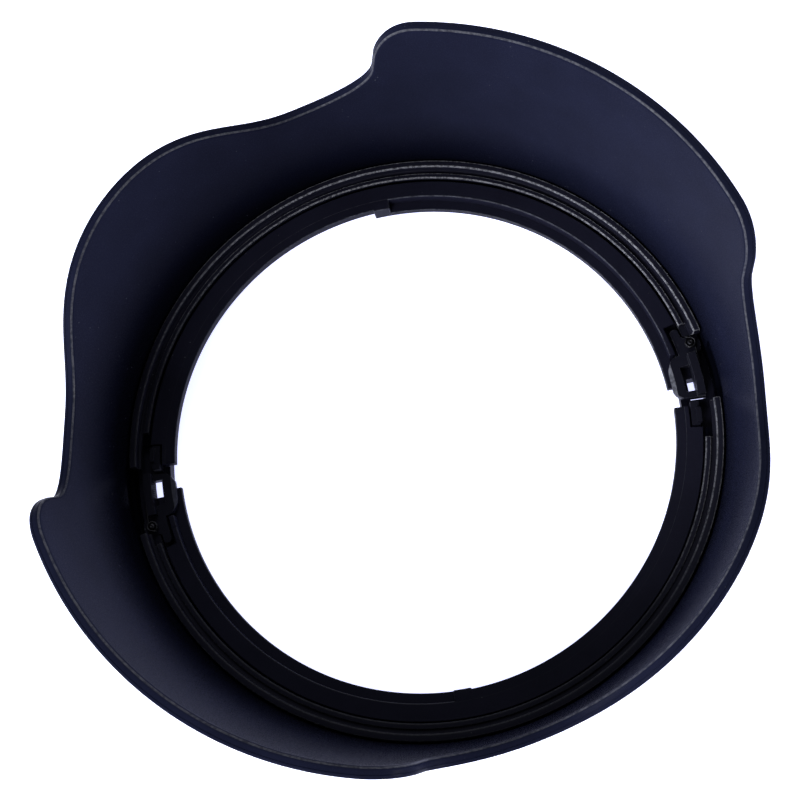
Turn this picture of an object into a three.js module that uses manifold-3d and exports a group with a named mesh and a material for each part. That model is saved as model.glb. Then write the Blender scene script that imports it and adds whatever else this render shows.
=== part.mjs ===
// Petal lens hood with a two-lug bayonet and a push-to-release spring latch on each side.
// Millimetres. +Z is the optical axis, towards the front of the hood. The origin is the centre of
// the rear face. +Y runs through one of the two large petals and +X through one of the small ones.
// Azimuths are in degrees, counter-clockwise from +X as seen from the front.
import * as THREE from 'three';
import { mergeVertices } from 'three/addons/utils/BufferGeometryUtils.js';
import Module from 'manifold-3d';

const wasm = await Module();
wasm.setup();

// ---- driving dimensions: the shade ----
const HEIGHT = 38.0;              // rear face to the flat ends of the large petals
const COLLAR_TOP = 7.5;           // the cylindrical collar ends and the cone starts here
const COLLAR_RADIUS = 45.6;
const RIM_RADIUS = 48.5;          // outside of the cone at the full height
const WALL = 1.5;
const COLLAR_WALL = 1.6;
const VALLEY_HEIGHT = 23.8;       // lowest points of the rim
const BELL_HEIGHT = 34.0;         // tips of the small petals
const FLAT_HALF = 30.5;           // half angle of a large petal's flat end
const CORNER_END = [38.2, 32.8];  // [angle, z] where a large petal's round corner meets its steep side
const SIDE_FOOT = [39.1, 29.7];   // where the steep side runs into the valley
const VALLEY_ANGLE = 55.0;        // from the middle of a large petal to the valley's lowest point
const CORNER_PULL = [34.2, HEIGHT, 36.9, HEIGHT - 2.1];   // two control points of each curve
const VALLEY_PULL = [40.2, VALLEY_HEIGHT + 3.1, 46.0, VALLEY_HEIGHT];
const BELL_PULL = [66.0, VALLEY_HEIGHT, 70.0, BELL_HEIGHT];
const QUARTER = 90;

// ---- driving dimensions: the collar's inside ----
const CLEARANCE = 0.3;            // between pieces that touch
const SEAT_BORE = 43.6;           // the bayonet ring sits in this bore
const FLANGE_BORE = 41.3;
const FLANGE_BOTTOM = 2.9;
const FLANGE_TOP = 4.0;

// ---- driving dimensions: the bayonet ring ----
const RING_BOTTOM = 0.4;
const RING_BASE_TOP = FLANGE_BOTTOM - CLEARANCE;
const RING_FACE = 4.6;            // front ledge of the ring
const RING_BORE = 38.5;
const LIP_RADIUS = 37.0;          // rear lips that hold the lens's lugs in
const LIP_BOTTOM = 1.8;
const LIP_TOP = 2.8;
const SHELF_RADIUS = 37.2;        // front shelves that the lens's lugs are pushed in against
const SHELF_BOTTOM = 3.2;
const STOP_START = 131.8;         // the block that ends the hood's turn
const STOP_END = 135.7;

// ---- driving dimensions: the latch stations ----
const STATIONS = { a: 50.5, b: 230.5 };   // azimuth that each station's own angles are counted from
const PIVOT_ANGLE = -1.8;         // station angles are positive clockwise, seen from the front
const PIVOT_RADIUS = 41.9;
const PIN_RADIUS = 0.45;
const PIN_BOTTOM = 1.1;
const PIN_TOP = 5.4;
const LEVER_BOTTOM = 2.9;
const LEVER_TOP = 4.2;
const BAR_TOP = 5.6;              // the raised bar along the lever's outer side
const WINDOW_START = -3.5;        // the ring is open to the front between these station angles
const WINDOW_END = 15.8;
const SHELF_ANGLE = 11.2;         // the front shelf begins here
const BUTTON_ANGLE = -11.5;
const BUTTON_HALF_WIDTH = 3.4;
const BUTTON_BOTTOM = 1.7;
const BUTTON_TOP = 4.1;
const POCKET_BOTTOM = 1.1;        // the button's inner flange travels in this height
const POCKET_TOP = 4.6;
const POCKET_INNER = 41.6;
const BUTTON_FACE = 46.9;         // outer face; it stands proud by its travel and a little more
const BUTTON_FLANGE = [42.95, 43.35];
const BUTTON_NUB = { x: [42.62, 43.0], y: [-0.4, 2.0], z: [3.0, 3.8] };   // pushes on the tail

// ---- driving dimensions: fasteners ----
const SCREW_AZIMUTHS = [0, 90, 180, 270];
const SCREW_CIRCLE = 42.2;
const SCREW_RADIUS = 0.5;
const SCREW_HEAD_RADIUS = 0.8;
const SCREW_HEAD = [0.42, 0.9];   // rear face of the head, and where it meets the shank
const SCREW_SLOT_DEPTH = 0.24;
const SCREW_SLOT = [0.5, 0.11];   // half length and half width

// ---- driving dimensions: the index marks on the collar ----
const INDEX_MARKS = { mount_index_mark: 176, lock_index_mark: 90 };
const INDEX_HEIGHT = 2.6;
const INDEX_RADIUS = 0.7;
const INDEX_DEPTH = 0.4;

// ---- features of a station, as [inner radius, outer radius, start angle, end angle] ----
const FLANGE_GAP = [40.5, SEAT_BORE + 0.2, -17.5, WINDOW_END];
const BAR_RECESS = [43.3, COLLAR_RADIUS - 1.2, -0.4, 10.8];
const BAR_RECESS_TOP = 7.0;
const LEVER_WINDOW = [37, 42, WINDOW_START, SHELF_ANGLE];
const PLATE_WINDOW = [39.2, 42, SHELF_ANGLE - 0.1, WINDOW_END];
const FINGER_SLOT = [39.2, 42, -6.9, -3.4];
const TAIL_POCKET = [39.7, 42, -17.5, -3.4];
const WINDOW_WALL = [RING_BORE, 39.3, WINDOW_START - 0.1, -0.6];
const SIGHT_HOLE = [39.95, 42.1, 4.7, 9.3];
const LEVER_BAR = [40.8, 41.95, 0.4, 9.2];
const LEVER_HOLE = [39.35, 40.8, 2.4, 7.9];
const THIN_TAIL = [41.2, 44, -14.5, -3.4];
const STOP_PAD = [39.5, 40.75, 10.2, 15.4];
const STOP_PAD_TOP = 4.75;
const STOP_STEP = [40.2, 40.95, 11.8, 14.9];
const STOP_STEP_TOP = 5.2;
const LIP_START = 6;              // the rear lip begins this far past the station
const OUTER_RIDGE = [3.1, 10.6];  // how far the ridges stop short of the two stations, in degrees
const INNER_RIDGE = [5.8, 18.0];
const RIDGE_SPLIT = 42.3;         // radius between the two ridges
const BAFFLE_SECTION = [          // [radius, z]
  [41.4, 4.3], [43.7, 4.3], [43.7, 6.4], [42.65, 6.4], [42.65, 5.0],
  [42.0, 5.0], [42.0, 5.4], [41.2, 5.4], [41.2, 4.9], [41.4, 4.9],
];
const OPEN_TOP = 8;               // above everything in the collar, for cuts that are open upwards

const FULL_TURN = 360;
const ROUND_SEGMENTS = 96;
const SECTOR_STEP = 8;            // degrees to a facet, at most
const EPSILON = 0.05;

const rad = THREE.MathUtils.degToRad;

// ---- solids ----
function toSolid(geometry) {
  const bare = geometry.clone();
  bare.deleteAttribute('normal');
  bare.deleteAttribute('uv');
  const merged = mergeVertices(bare, 1e-5);
  return new wasm.Manifold(new wasm.Mesh({
    numProp: 3,
    vertProperties: new Float32Array(merged.attributes.position.array),
    triVerts: new Uint32Array(merged.index.array),
  }));
}

function toGeometry(solid) {
  const mesh = solid.getMesh();
  const geometry = new THREE.BufferGeometry();
  geometry.setAttribute('position', new THREE.BufferAttribute(new Float32Array(mesh.vertProperties), 3));
  geometry.setIndex(new THREE.BufferAttribute(new Uint32Array(mesh.triVerts), 1));
  geometry.computeVertexNormals();
  return geometry;
}

// A closed section, listed as [radius, z] with its outer side running upwards, turned about Z.
function turned(section, segments = ROUND_SEGMENTS) {
  const points = [...section, section[0]].map(([r, z]) => new THREE.Vector2(r, z));
  return new THREE.LatheGeometry(points, segments).rotateX(Math.PI / 2);
}

// Part of a flat ring between two radii, two heights and two azimuths.
function sector(inner, outer, bottom, top, from, to) {
  const shape = new THREE.Shape();
  shape.absarc(0, 0, outer, rad(from), rad(to), false);
  shape.absarc(0, 0, inner, rad(to), rad(from), true);
  return plate(shape, bottom, top, Math.max(1, Math.ceil((to - from) / SECTOR_STEP)));
}

// A feature of the station at the given azimuth, between two heights.
function feature(station, [inner, outer, from, to], bottom, top) {
  return sector(inner, outer, bottom, top, station - to, station - from);
}

function pointAt(azimuth, radius) {
  return new THREE.Vector2(radius * Math.cos(rad(azimuth)), radius * Math.sin(rad(azimuth)));
}

function plate(shape, bottom, top, curveSegments = 4) {
  const depth = top - bottom;
  const geometry = new THREE.ExtrudeGeometry(shape, { depth, bevelEnabled: false, curveSegments });
  return toSolid(geometry.translate(0, 0, bottom));
}

// A block whose X axis is turned to the given azimuth.
function block(azimuth, x, y, z) {
  const geometry = new THREE.BoxGeometry(x[1] - x[0], y[1] - y[0], z[1] - z[0]);
  geometry.translate((x[0] + x[1]) / 2, (y[0] + y[1]) / 2, (z[0] + z[1]) / 2);
  return toSolid(geometry.rotateZ(rad(azimuth)));
}

function rod(azimuth, radius, rodRadius, bottom, top, segments = 20) {
  const geometry = new THREE.CylinderGeometry(rodRadius, rodRadius, top - bottom, segments);
  const centre = pointAt(azimuth, radius);
  return toSolid(geometry.rotateX(Math.PI / 2).translate(centre.x, centre.y, (top + bottom) / 2));
}

function cone(azimuth, radius, bottomRadius, topRadius, bottom, top, segments = 20) {
  const geometry = new THREE.CylinderGeometry(topRadius, bottomRadius, top - bottom, segments);
  const centre = pointAt(azimuth, radius);
  return toSolid(geometry.rotateX(Math.PI / 2).translate(centre.x, centre.y, (top + bottom) / 2));
}

// ---- the shade's shell ----
// The rim over one quarter, from the middle of a large petal to the middle of a small one, as
// [angle, height]: a flat end, a round corner, a steep side, a round valley and a bell.
function quarterRim() {
  const side = new THREE.Path();
  side.moveTo(FLAT_HALF, HEIGHT);
  side.bezierCurveTo(...CORNER_PULL, ...CORNER_END);
  side.lineTo(...SIDE_FOOT);
  side.bezierCurveTo(...VALLEY_PULL, VALLEY_ANGLE, VALLEY_HEIGHT);
  side.bezierCurveTo(...BELL_PULL, QUARTER, BELL_HEIGHT);
  const flat = [0, 0.2, 0.4, 0.6, 0.8].map((part) => [part * FLAT_HALF, HEIGHT]);
  return [...flat, ...side.getPoints(8).map((p) => [p.x, p.y])];
}

// Every column of the shell as [azimuth, rim height], once round from the middle of a large petal.
function rimColumns() {
  const quarter = quarterRim();
  const back = quarter.map(([angle, z]) => [QUARTER - angle, z]).reverse();
  const columns = [];
  for (let k = 0; k < 4; k += 1) {
    const run = k % 2 === 0 ? quarter : back;
    for (const [angle, z] of run.slice(0, -1)) {
      columns.push([QUARTER * (k + 1) + angle, z]);
    }
  }
  columns.push([QUARTER + FULL_TURN, HEIGHT]);
  return columns;
}

function coneRadius(z) {
  return COLLAR_RADIUS + (RIM_RADIUS - COLLAR_RADIUS) * (z - COLLAR_TOP) / (HEIGHT - COLLAR_TOP);
}

// The shell's section is turned, and then each column's rim points slide down the cone to the rim.
function petalShell() {
  const innerTop = COLLAR_RADIUS - COLLAR_WALL;
  const section = [
    [SEAT_BORE, 0], [COLLAR_RADIUS - 0.4, 0], [COLLAR_RADIUS, 0.4], [COLLAR_RADIUS, COLLAR_TOP],
    [RIM_RADIUS, HEIGHT], [RIM_RADIUS - WALL, HEIGHT], [innerTop, COLLAR_TOP], [innerTop, FLANGE_TOP],
    [FLANGE_BORE, FLANGE_TOP], [FLANGE_BORE, FLANGE_BOTTOM], [SEAT_BORE, FLANGE_BOTTOM],
  ];
  const columns = rimColumns();
  const geometry = turned(section, columns.length - 1);
  const position = geometry.attributes.position;
  const rows = section.length + 1;
  for (let i = 0; i < position.count; i += 1) {
    const [azimuth, rim] = columns[Math.floor(i / rows)];
    const [sectionRadius, sectionZ] = section[(i % rows) % section.length];
    const atRim = sectionZ === HEIGHT;
    const z = atRim ? rim : sectionZ;
    const radius = atRim ? sectionRadius - RIM_RADIUS + coneRadius(rim) : sectionRadius;
    const p = pointAt(azimuth % FULL_TURN, radius);
    position.setXYZ(i, p.x, p.y, z);
  }
  return toSolid(geometry);
}

function indexPocket(azimuth, radius, from, to) {
  const geometry = new THREE.CylinderGeometry(radius, radius, to - from, 16).rotateZ(Math.PI / 2);
  return toSolid(geometry.translate((from + to) / 2, 0, INDEX_HEIGHT).rotateZ(rad(azimuth)));
}

function hoodShell() {
  let shell = petalShell();
  for (const station of Object.values(STATIONS)) {
    shell = shell.subtract(feature(station, FLANGE_GAP, FLANGE_BOTTOM - 0.2, FLANGE_TOP + 0.2));
    // Recess that the lever's raised bar swings out into.
    shell = shell.subtract(feature(station, BAR_RECESS, FLANGE_TOP, BAR_RECESS_TOP));
    const half = BUTTON_HALF_WIDTH + 0.25;
    const window = [BUTTON_BOTTOM - 0.15, BUTTON_TOP + 0.15];
    shell = shell.subtract(block(station - BUTTON_ANGLE, [42.5, 47], [-half, half], window));
  }
  for (const azimuth of SCREW_AZIMUTHS) {
    const radius = SCREW_RADIUS + EPSILON;
    shell = shell.subtract(rod(azimuth, SCREW_CIRCLE, radius, FLANGE_BOTTOM - 0.2, FLANGE_TOP + 0.2));
  }
  for (const azimuth of Object.values(INDEX_MARKS)) {
    const floor = COLLAR_RADIUS - INDEX_DEPTH - 0.1;
    shell = shell.subtract(indexPocket(azimuth, INDEX_RADIUS + 0.1, floor, COLLAR_RADIUS + 1));
  }
  return shell;
}

// ---- the bayonet ring ----
function buttonPocket(station) {
  const half = BUTTON_HALF_WIDTH + CLEARANCE;
  return block(station - BUTTON_ANGLE, [POCKET_INNER, 44], [-half, half], [POCKET_BOTTOM, POCKET_TOP]);
}

function bayonetRing() {
  const rimRadius = SEAT_BORE - 0.25;
  const sleeveRadius = FLANGE_BORE - CLEARANCE;
  let ring = toSolid(turned([
    [RING_BORE, RING_BOTTOM], [rimRadius, RING_BOTTOM], [rimRadius, RING_BASE_TOP],
    [sleeveRadius, RING_BASE_TOP], [sleeveRadius, RING_FACE], [RING_BORE, RING_FACE],
  ]));
  const root = RING_BORE + 0.2;
  for (const station of Object.values(STATIONS)) {
    // Open window for the lever's body, narrower beyond the lever, where the stop plate sits.
    ring = ring.subtract(feature(station, LEVER_WINDOW, RING_BASE_TOP, OPEN_TOP));
    ring = ring.subtract(feature(station, PLATE_WINDOW, RING_BASE_TOP, OPEN_TOP));
    // Slot for the lever's finger, and the covered pocket that its tail swings in.
    ring = ring.subtract(feature(station, FINGER_SLOT, RING_BASE_TOP, OPEN_TOP));
    ring = ring.subtract(feature(station, TAIL_POCKET, RING_BASE_TOP, LEVER_TOP - EPSILON));
    ring = ring.subtract(buttonPocket(station));
    // Drain and sight hole through the base.
    ring = ring.subtract(feature(station, SIGHT_HOLE, 0, OPEN_TOP));
    const boreRadius = PIN_RADIUS + EPSILON;
    ring = ring.subtract(rod(station - PIVOT_ANGLE, PIVOT_RADIUS, boreRadius, PIN_BOTTOM - 0.1, OPEN_TOP));
    // The inner wall beside the window is kept as far as the lever's finger.
    ring = ring.add(feature(station, WINDOW_WALL, RING_BASE_TOP - EPSILON, RING_FACE));
    // Rear lip from the latch round to the stop, the stop itself, and the shelf beyond it.
    const turn = station - STATIONS.a;
    ring = ring.add(sector(LIP_RADIUS, root, LIP_BOTTOM, LIP_TOP, station - LIP_START, STOP_START + turn));
    ring = ring.add(sector(LIP_RADIUS, root, LIP_BOTTOM, RING_FACE, STOP_START + turn, STOP_END + turn));
    const shelfEnd = station + 180 - SHELF_ANGLE;
    ring = ring.add(sector(SHELF_RADIUS, root, SHELF_BOTTOM, RING_FACE, STOP_END + turn - 0.5, shelfEnd));
  }
  for (const azimuth of SCREW_AZIMUTHS) {
    ring = ring.subtract(rod(azimuth, SCREW_CIRCLE, SCREW_RADIUS + 0.2, 0, 3.5));
    ring = ring.subtract(cone(azimuth, SCREW_CIRCLE, SCREW_HEAD_RADIUS + 0.2, SCREW_RADIUS + 0.2, 0.3, 1.0));
  }
  return ring;
}

// ---- the stepped baffle in front of the ring, in two halves between the latches ----
// Its section has a low inner ridge and a higher outer one, and the inner one is shorter.
function baffle(station) {
  const ring = toSolid(turned(BAFFLE_SECTION));
  const arc = (inner, [start, end]) => sector(inner, 45, 4, OPEN_TOP, station + start, station + 180 - end);
  const ends = arc(RIDGE_SPLIT, OUTER_RIDGE).add(arc(40, INNER_RIDGE));
  return ring.intersect(ends).subtract(buttonPocket(station));
}

// ---- the latch lever ----
// Its outline in station angles: a nose that rises towards the lens in the middle of the inner side,
// a round finger behind the nose, and a long tail under the baffle for the button to push on.
function leverOutline(station) {
  const at = (angle, radius) => pointAt(station - angle, radius);
  const shape = new THREE.Shape();
  const to = (angle, radius) => {
    const p = at(angle, radius);
    shape.lineTo(p.x, p.y);
  };
  const curve = (viaAngle, viaRadius, angle, radius) => {
    const via = at(viaAngle, viaRadius);
    const end = at(angle, radius);
    shape.quadraticCurveTo(via.x, via.y, end.x, end.y);
  };
  const start = at(9.3, 42.0);
  shape.moveTo(start.x, start.y);
  curve(5.0, 42.05, 0.6, 42.0);
  curve(0.2, 43.4, PIVOT_ANGLE, 43.4);
  curve(-4.0, 43.4, -4.2, 42.4);
  curve(-8.6, 42.45, -13.0, 42.35);
  curve(-13.6, 42.0, -13.0, 41.5);
  curve(-8.6, 41.5, -3.7, 41.35);
  to(-3.7, 41.0);
  to(-5.4, 41.0);
  curve(-6.3, 40.4, -5.4, 39.8);
  to(-0.2, 39.8);
  to(0.2, 38.7);
  curve(1.4, 37.8, 2.8, 37.65);
  curve(5.0, 37.55, 7.2, 37.65);
  curve(8.5, 37.9, 9.2, 38.9);
  to(9.3, 40.2);
  to(9.3, 42.0);
  return shape;
}

function latchLever(station) {
  const bodyShape = leverOutline(station);
  let lever = plate(bodyShape, LEVER_BOTTOM, LEVER_TOP);
  lever = lever.subtract(feature(station, THIN_TAIL, LEVER_TOP - 0.3, OPEN_TOP));
  lever = lever.add(feature(station, LEVER_BAR, LEVER_TOP - EPSILON, BAR_TOP));
  lever = lever.subtract(feature(station, LEVER_HOLE, 0, OPEN_TOP));
  return lever.subtract(rod(station - PIVOT_ANGLE, PIVOT_RADIUS, PIN_RADIUS + 0.1, 0, OPEN_TOP));
}

function pivotPin(station) {
  return rod(station - PIVOT_ANGLE, PIVOT_RADIUS, PIN_RADIUS, PIN_BOTTOM, PIN_TOP);
}

// Torsion spring: a short coil round the pin, one leg along the raised bar, one leg to the collar.
class TorsionWire extends THREE.Curve {
  constructor(coilRadius, turns, pitch, legs) {
    super();
    Object.assign(this, { coilRadius, turns, pitch, legs });
  }

  getPoint(t, target = new THREE.Vector3()) {
    const total = this.legs[0] + this.turns * 2 * Math.PI * this.coilRadius + this.legs[1];
    const s = t * total;
    const coil = total - this.legs[0] - this.legs[1];
    const along = THREE.MathUtils.clamp(s - this.legs[0], 0, coil);
    const angle = along / this.coilRadius;
    const z = this.pitch * angle / (2 * Math.PI);
    const out = s - this.legs[0] - along;
    target.set(this.coilRadius * Math.cos(angle), this.coilRadius * Math.sin(angle), z);
    return target.add(new THREE.Vector3(-Math.sin(angle), Math.cos(angle), 0).multiplyScalar(out));
  }
}

const WIRE_RADIUS = 0.14;
const COIL_RADIUS = 0.68;
const COIL_TURNS = 2.2;
const COIL_PITCH = 0.36;
const SPRING_LEGS = [3.4, 0.9];
const SPRING_TILT = 8;            // degrees that the long leg leans in to the bar

function returnSpring(station) {
  const wire = new TorsionWire(COIL_RADIUS, COIL_TURNS, COIL_PITCH, SPRING_LEGS);
  const section = new THREE.Shape().absarc(0, 0, WIRE_RADIUS, 0, 2 * Math.PI, false);
  const geometry = new THREE.ExtrudeGeometry(section, {
    steps: 34, extrudePath: wire, curveSegments: 3, bevelEnabled: false,
  });
  const pivotAzimuth = station - PIVOT_ANGLE;
  const centre = pointAt(pivotAzimuth, PIVOT_RADIUS);
  geometry.rotateZ(rad(pivotAzimuth - SPRING_TILT)).translate(centre.x, centre.y, LEVER_TOP + 0.3);
  return toSolid(geometry);
}

// ---- the release button: a flange inside the collar, a body through it and a pushing nub ----
function releaseButton(station) {
  const azimuth = station - BUTTON_ANGLE;
  const half = BUTTON_HALF_WIDTH;
  const body = block(azimuth, [43.1, 48], [-half, half], [BUTTON_BOTTOM, BUTTON_TOP]);
  const round = sector(40, BUTTON_FACE, BUTTON_BOTTOM, BUTTON_TOP, azimuth - 8, azimuth + 8);
  const flange = block(azimuth, BUTTON_FLANGE, [-half, half], [POCKET_BOTTOM + 0.2, POCKET_TOP - 0.2]);
  const nub = block(azimuth, BUTTON_NUB.x, BUTTON_NUB.y, BUTTON_NUB.z);
  return body.intersect(round).add(flange).add(nub);
}

// ---- the stop plate that the lever's end rests against ----
function stopPlate(station) {
  const pad = feature(station, STOP_PAD, RING_BASE_TOP + 0.2, STOP_PAD_TOP);
  const step = feature(station, STOP_STEP, STOP_PAD_TOP - 0.4, STOP_STEP_TOP);
  return pad.add(step);
}

// ---- fasteners and marks ----
function ringScrew(azimuth) {
  const [rear, neck] = SCREW_HEAD;
  const [long, narrow] = SCREW_SLOT;
  const head = cone(azimuth, SCREW_CIRCLE, SCREW_HEAD_RADIUS, SCREW_RADIUS, rear, neck, 16);
  const shank = rod(azimuth, SCREW_CIRCLE, SCREW_RADIUS, neck - 0.1, FLANGE_TOP - 0.1, 16);
  const slot = (along, across) => block(
    azimuth, [SCREW_CIRCLE - along, SCREW_CIRCLE + along], [-across, across],
    [rear - EPSILON, rear + SCREW_SLOT_DEPTH],
  );
  return head.add(shank).subtract(slot(long, narrow)).subtract(slot(narrow, long));
}

function indexMark(azimuth) {
  return indexPocket(azimuth, INDEX_RADIUS, COLLAR_RADIUS - INDEX_DEPTH, COLLAR_RADIUS + 0.02);
}

// ---- assembly ----
const FINISHES = {
  shell: { color: 0x1b1d2b, roughness: 0.62, metalness: 0.0 },
  ring: { color: 0x15161e, roughness: 0.5, metalness: 0.0 },
  baffle: { color: 0x101118, roughness: 0.55, metalness: 0.0 },
  latch: { color: 0x2a2b35, roughness: 0.42, metalness: 0.0 },
  steel: { color: 0x9a9ca3, roughness: 0.32, metalness: 1.0 },
  mark: { color: 0xe6e6e2, roughness: 0.55, metalness: 0.0 },
};

const hood = new THREE.Group();

function place(name, solid, finish) {
  const mesh = new THREE.Mesh(toGeometry(solid), new THREE.MeshStandardMaterial(FINISHES[finish]));
  mesh.name = name;
  hood.add(mesh);
}

place('hood_shell', hoodShell(), 'shell');
place('bayonet_ring', bayonetRing(), 'ring');
for (const [side, station] of Object.entries(STATIONS)) {
  place(`baffle_arc_${side}`, baffle(station), 'baffle');
  place(`latch_lever_${side}`, latchLever(station), 'latch');
  place(`pivot_pin_${side}`, pivotPin(station), 'steel');
  place(`return_spring_${side}`, returnSpring(station), 'steel');
  place(`release_button_${side}`, releaseButton(station), 'latch');
  place(`stop_plate_${side}`, stopPlate(station), 'latch');
}
SCREW_AZIMUTHS.forEach((azimuth, i) => place(`ring_screw_${i + 1}`, ringScrew(azimuth), 'steel'));
for (const [name, azimuth] of Object.entries(INDEX_MARKS)) {
  place(name, indexMark(azimuth), 'mark');
}

export default hood;
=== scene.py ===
import math

import bmesh
import bpy
import numpy as np
from mathutils import Matrix, Vector


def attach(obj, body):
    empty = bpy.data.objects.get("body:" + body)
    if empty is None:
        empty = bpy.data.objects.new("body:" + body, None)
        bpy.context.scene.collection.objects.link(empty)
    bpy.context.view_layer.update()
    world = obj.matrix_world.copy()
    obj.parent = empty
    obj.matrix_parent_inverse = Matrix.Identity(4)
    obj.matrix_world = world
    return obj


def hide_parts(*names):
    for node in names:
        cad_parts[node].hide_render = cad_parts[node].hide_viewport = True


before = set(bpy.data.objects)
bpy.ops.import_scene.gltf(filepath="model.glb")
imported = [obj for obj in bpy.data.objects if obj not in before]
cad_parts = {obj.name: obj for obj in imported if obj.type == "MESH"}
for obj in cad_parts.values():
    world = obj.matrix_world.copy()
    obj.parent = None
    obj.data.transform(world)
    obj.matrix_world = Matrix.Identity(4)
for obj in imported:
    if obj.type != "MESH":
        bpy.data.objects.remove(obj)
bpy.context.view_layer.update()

# Petal lens hood. The geometry below is in millimetres, in the frame of the CAD part: +Z is the
# optical axis towards the front and the origin is the centre of the rear face. It becomes metres
# when an object is made. Azimuths are in degrees, counter-clockwise from +X.
MM = 0.001

# ---- the shade ----
HEIGHT = 38.0
COLLAR_TOP = 7.5
COLLAR_RADIUS = 45.6
RIM_RADIUS = 48.5
WALL = 1.5
COLLAR_WALL = 1.6
VALLEY_HEIGHT = 23.8
BELL_HEIGHT = 34.0
FLAT_HALF = 30.5
CORNER_END = (38.2, 32.8)
SIDE_FOOT = (39.1, 29.7)
VALLEY_ANGLE = 55.0
CORNER_BEND = ((34.2, HEIGHT), (36.9, HEIGHT - 2.1))       # what the rim's curves bend towards
FOOT_BEND = ((40.2, VALLEY_HEIGHT + 3.1), (46.0, VALLEY_HEIGHT))
BELL_BEND = ((66.0, VALLEY_HEIGHT), (70.0, BELL_HEIGHT))
SEAT_BORE = 43.6
FLANGE_BORE = 41.3
FLANGE_BOTTOM = 2.9
FLANGE_TOP = 4.0

# ---- the bayonet ring ----
RING_BOTTOM = 0.4
RING_BASE_TOP = 2.6
RING_FACE = 4.6
RING_BORE = 38.5
LIP_RADIUS = 37.0
LIP_BOTTOM = 1.8
LIP_TOP = 2.8
SHELF_RADIUS = 37.2
SHELF_BOTTOM = 3.2
STOP_START = 131.8
STOP_END = 135.7

# ---- the latch stations; their own angles are positive clockwise, seen from the front ----
STATIONS = {"a": 50.5, "b": 230.5}
PIVOT_ANGLE = -1.8
PIVOT_RADIUS = 41.9
PIN_RADIUS = 0.45
LEVER_BOTTOM = 2.9
LEVER_TOP = 4.2
BAR_TOP = 5.6
WINDOW_START = -3.5
WINDOW_END = 15.8
SHELF_ANGLE = 11.2
BUTTON_ANGLE = -11.5
BUTTON_HALF_WIDTH = 3.4
BUTTON_BOTTOM = 1.7
BUTTON_TOP = 4.1
BUTTON_FACE = 46.9
POCKET_BOTTOM = 1.1
POCKET_TOP = 4.6
SCREW_AZIMUTHS = (0, 90, 180, 270)
SCREW_CIRCLE = 42.2
SCREW_HOLE = [(0, 0.2), (1.05, 0.2), (0.7, 1.0), (0.7, 3.5), (0, 3.5)]
INDEX_MARKS = {"mount_index_mark": 176, "lock_index_mark": 90}
INDEX_HEIGHT = 2.6
INDEX_RADIUS = 0.7

# ---- features of a station, as (inner radius, outer radius, start angle, end angle) ----
FLANGE_GAP = (40.5, SEAT_BORE + 0.2, -17.5, WINDOW_END)
BAR_RECESS = (43.3, COLLAR_RADIUS - 1.2, -0.4, 10.8)
BAR_RECESS_TOP = 7.0
LEVER_WINDOW = (37.0, 42.0, WINDOW_START, SHELF_ANGLE)
PLATE_WINDOW = (39.2, 42.0, SHELF_ANGLE - 0.1, WINDOW_END)
FINGER_SLOT = (39.2, 42.0, -6.9, -3.4)
TAIL_POCKET = (39.7, 42.0, -17.5, -3.4)
SIGHT_HOLE = (39.95, 42.1, 4.7, 9.3)
LEVER_HOLE = (39.35, 40.8, 2.4, 7.9)
LEVER_BAR = (40.8, 41.95, 0.4, 9.2)
THIN_TAIL = (41.2, 44.0, -14.5, -3.4)
STOP_PAD = (39.5, 40.75, 10.2, 15.4)
STOP_PAD_TOP = 4.75
STOP_STEP = (40.2, 40.95, 11.8, 14.9)
STOP_STEP_TOP = 5.2
WINDOW_WALL_OUTER = 39.3
WINDOW_WALL_END = -0.6
LIP_START = 6.0
OUTER_RIDGE = (3.1, 10.6)    # how far the ridges stop short of the two stations, in degrees
INNER_RIDGE = (5.8, 18.0)
OPEN_TOP = 8.0               # above everything in the collar, for cuts that are open upwards

BASE, EDGE = 0, 1            # material slots of every piece: its own finish and its rubbed edges


# ---- points, sections and sweeps ----
def polar(azimuth, radius, z=0.0):
    a = math.radians(azimuth)
    return (radius * math.cos(a), radius * math.sin(a), z)


def quadratic(start, via, end, count):
    """Points on a curve after its start, up to and including its end."""
    out = []
    for k in range(1, count + 1):
        t = k / count
        out.append(tuple((1 - t) ** 2 * a + 2 * t * (1 - t) * b + t * t * c
                         for a, b, c in zip(start, via, end)))
    return out


def cubic(p0, p1, p2, p3, count):
    out = []
    for k in range(1, count + 1):
        t = k / count
        u = 1 - t
        out.append(tuple(u ** 3 * a + 3 * u * u * t * b + 3 * u * t * t * c + t ** 3 * d
                         for a, b, c, d in zip(p0, p1, p2, p3)))
    return out


def rounded(corners, steps=4):
    """A closed section from corners (r, z, radius, worn). Returns [r, z, worn] points, where worn
    marks the arcs of the corners that are rubbed bright."""
    out = []
    for i, (r, z, radius, worn) in enumerate(corners):
        p = np.array((r, z))
        back = np.array(corners[i - 1][:2]) - p
        ahead = np.array(corners[(i + 1) % len(corners)][:2]) - p
        if radius == 0:
            out.append((r, z, 0))
            continue
        cut = min(radius, 0.45 * np.linalg.norm(back), 0.45 * np.linalg.norm(ahead))
        start = p + back / np.linalg.norm(back) * cut
        end = p + ahead / np.linalg.norm(ahead) * cut
        arc = [tuple(start)] + quadratic(start, p, end, steps)
        for k, q in enumerate(arc):
            out.append((q[0], q[1], worn if 0 < k <= steps else 0))
    return out


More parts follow.
